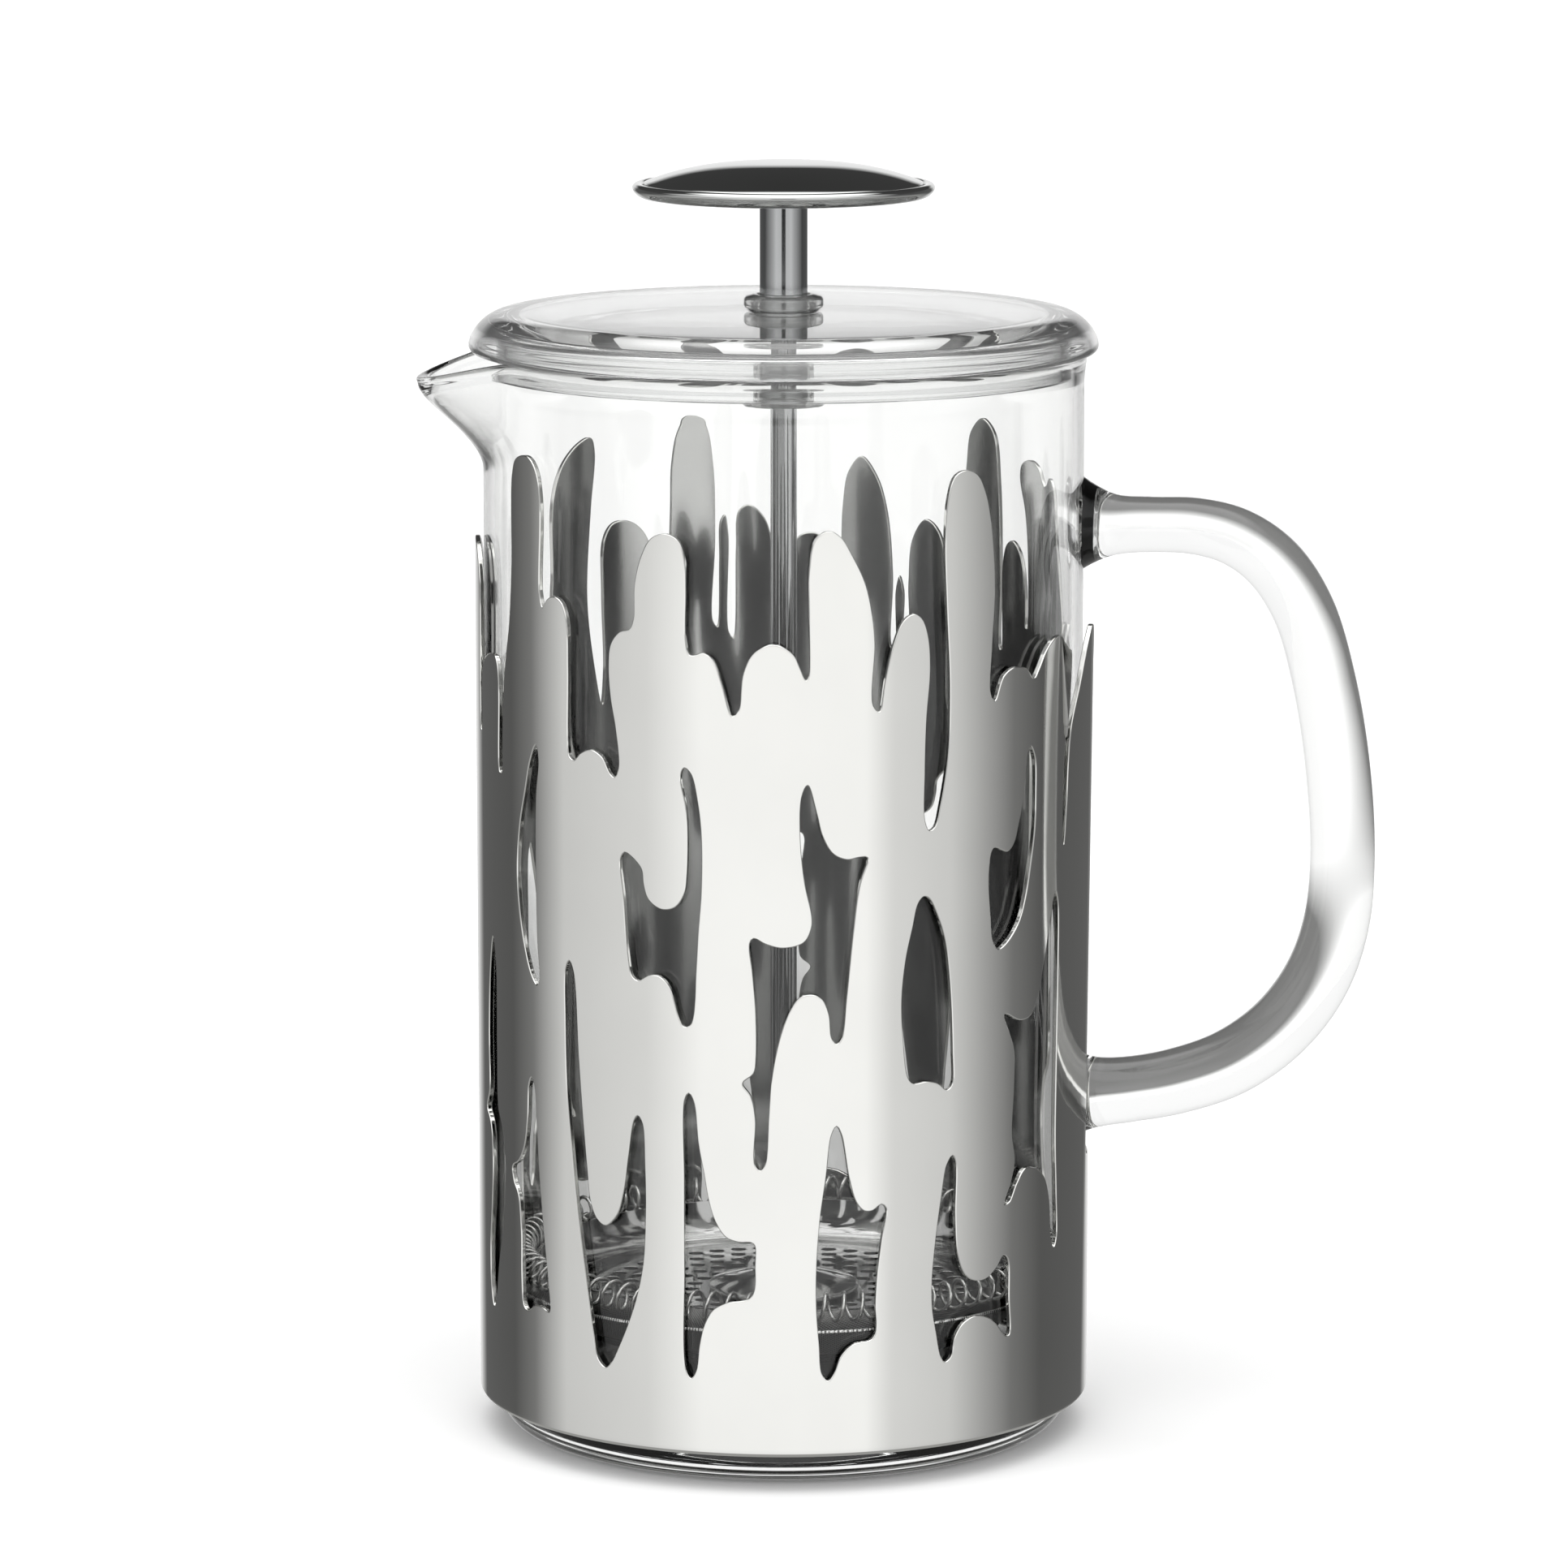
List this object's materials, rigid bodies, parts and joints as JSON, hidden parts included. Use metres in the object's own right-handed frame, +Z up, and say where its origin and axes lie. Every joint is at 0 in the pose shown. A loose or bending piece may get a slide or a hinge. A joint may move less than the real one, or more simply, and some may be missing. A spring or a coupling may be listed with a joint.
{
  "type": "french press",
  "caption": "Glass plunger coffee maker in a steel sleeve cut like bark, with a rod handle, pouring lip, clear lid, disc knob and spring-edged filter.",
  "frame": {"origin": "centre of the jug's flat foot, on the surface it stands on", "axes": "+Z up along the jug's axis, +X towards the handle, -X towards the spout"},
  "size_m": [0.1559, 0.1018, 0.2072],
  "materials": {
    "glass": "clear borosilicate glass, fire-polished edges",
    "polished_steel": "mirror-polished stainless steel",
    "spring_steel": "bright drawn stainless wire",
    "filter_cloth": "fine woven stainless cloth",
    "clear_plastic": "clear moulded plastic"
  },
  "bodies": {
    "jug": {"glass_jug": "glass"},
    "sleeve": {"bark_sleeve": "polished_steel"},
    "lid": {"lid": "glass"},
    "bushing": {"lid_bushing": "clear_plastic", "bushing_ring": "clear_plastic"},
    "plunger": {"plunger_rod": "polished_steel", "rod_ferrule": "polished_steel", "knob_base": "polished_steel", "knob_cap": "polished_steel", "rod_collar": "polished_steel"},
    "filter_stack": {"spring_plate": "polished_steel", "rim_spring": "spring_steel", "filter_cloth": "filter_cloth"},
    "cross": {"cross_plate": "polished_steel", "cross_hub": "polished_steel"}
  },
  "joints": [
    {"name": "sleeve_slide", "type": "slide", "parent": "jug", "child": "sleeve", "axis": [0, 0, -1], "range_m": [0, 0.165]},
    {"name": "lid_lift", "type": "slide", "parent": "jug", "child": "lid", "axis": [0, 0, 1], "range_m": [0, 0.175]},
    {"name": "plunger_turn", "type": "hinge", "parent": "lid", "child": "bushing", "pos_m": [0, 0, 0.18], "axis": [0, 0, 1], "continuous": true},
    {"name": "plunger_slide", "type": "slide", "parent": "bushing", "child": "plunger", "axis": [0, 0, 1], "range_m": [0, 0.141]},
    {"name": "stack_drop", "type": "slide", "parent": "plunger", "child": "filter_stack", "axis": [0, 0, -1], "range_m": [0, 0.0044]},
    {"name": "hub_turn", "type": "hinge", "parent": "filter_stack", "child": "cross", "pos_m": [0, 0, 0.017], "axis": [0, 0, -1], "range_deg": [0, 1587]}
  ],
  "couplings": [
    {"joint": "hub_turn", "follows": "stack_drop", "rad_per_m": 6283.2}
  ]
}
